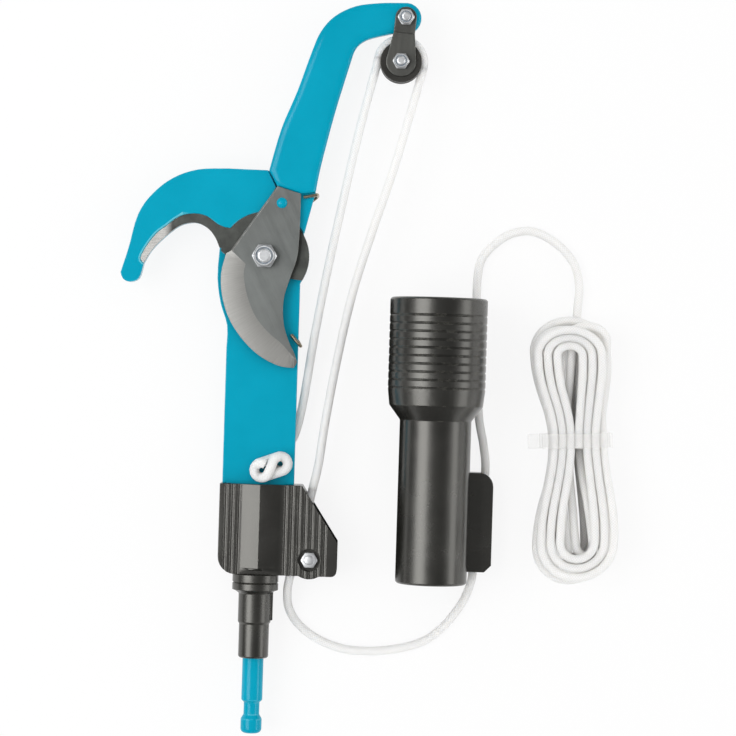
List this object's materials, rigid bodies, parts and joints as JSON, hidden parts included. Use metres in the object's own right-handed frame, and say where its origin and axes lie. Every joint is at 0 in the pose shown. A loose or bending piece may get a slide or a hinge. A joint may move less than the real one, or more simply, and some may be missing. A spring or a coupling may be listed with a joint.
{
  "type": "rope operated tree pruner head",
  "caption": "Bypass pruner head for a pole: hooked frame, swinging blade on a sprung lever with a pulley, round tang below, and a pull rope with a sliding sleeve grip and a tied hank.",
  "frame": {"origin": "on the pole tang's axis, at the shoulder where the tang leaves its sleeve", "axes": "+Y up the head from the tang to the pulley, +Z out of the face with the blade, the part lies on its back"},
  "size_m": [0.2742, 0.3984, 0.0526],
  "materials": {
    "painted_steel": "gloss",
    "dark_steel": "satin",
    "blade_steel": "satin",
    "zinc": "bright",
    "spring_steel": "satin",
    "black_plastic": "satin",
    "roller_plastic": "satin",
    "rope": "matte",
    "tie": "satin"
  },
  "bodies": {
    "head": {"frame": "painted_steel", "counter_blade": "dark_steel", "pivot_bolt": "zinc", "pivot_nut": "zinc", "pivot_bush": "zinc", "pivot_washer": "zinc", "spring_spool": "black_plastic", "torsion_spring": "spring_steel", "adapter_front_shell": "black_plastic", "adapter_rear_shell": "black_plastic", "adapter_screws": "zinc", "key_sleeve": "black_plastic", "pole_tang": "painted_steel", "tang_pin": "zinc", "guide_roller_screw": "zinc", "guide_roller_nut": "zinc", "rope_knot": "rope", "rope_slack_run": "rope"},
    "lever": {"blade": "blade_steel", "lever_arm": "painted_steel", "lever_rivet": "painted_steel", "block_bolt": "zinc", "block_nut": "zinc"},
    "pulley_block": {"block_front_plate": "zinc", "block_rear_plate": "zinc", "pulley_axle": "zinc", "pulley_axle_nut": "zinc", "rope_up_run": "rope", "rope_pulley_turn": "rope", "rope_down_run": "rope"},
    "pulley": {"pulley": "black_plastic"},
    "guide_roller": {"guide_roller": "roller_plastic"},
    "pull_grip": {"grip_sleeve": "black_plastic", "rope_grip_run": "rope", "rope_hank": "rope", "hank_tie": "tie"}
  },
  "joints": [
    {"name": "lever_close", "type": "hinge", "parent": "head", "child": "lever", "pos_m": [0, 0.218, 0], "axis": [0, 0, -1], "range_deg": [0, 110], "stiffness_Nm_per_rad": 0.4, "springref_deg": -20.05, "deforming": ["torsion_spring", "rope_up_run", "rope_down_run"]},
    {"name": "block_swivel", "type": "hinge", "parent": "lever", "child": "pulley_block", "pos_m": [0.0725, 0.349, 0.0059], "axis": [0, 0, -1], "range_deg": [-26, 0]},
    {"name": "pulley_spin", "type": "hinge", "parent": "pulley_block", "child": "pulley", "pos_m": [0.07049, 0.32508, 0.0059], "axis": [0, 0, 1], "continuous": true},
    {"name": "guide_roller_spin", "type": "hinge", "parent": "head", "child": "guide_roller", "pos_m": [0.029, 0.0542, 0], "axis": [0, 0, 1], "continuous": true},
    {"name": "grip_slide", "type": "slide", "parent": "head", "child": "pull_grip", "axis": [0, -1, 0], "range_m": [0, 0.346], "deforming": ["rope_slack_run"]}
  ],
  "couplings": [
    {"joint": "block_swivel", "follows": "lever_close", "ratio": -0.236},
    {"joint": "grip_slide", "follows": "lever_close", "m_per_rad": 0.18}
  ]
}
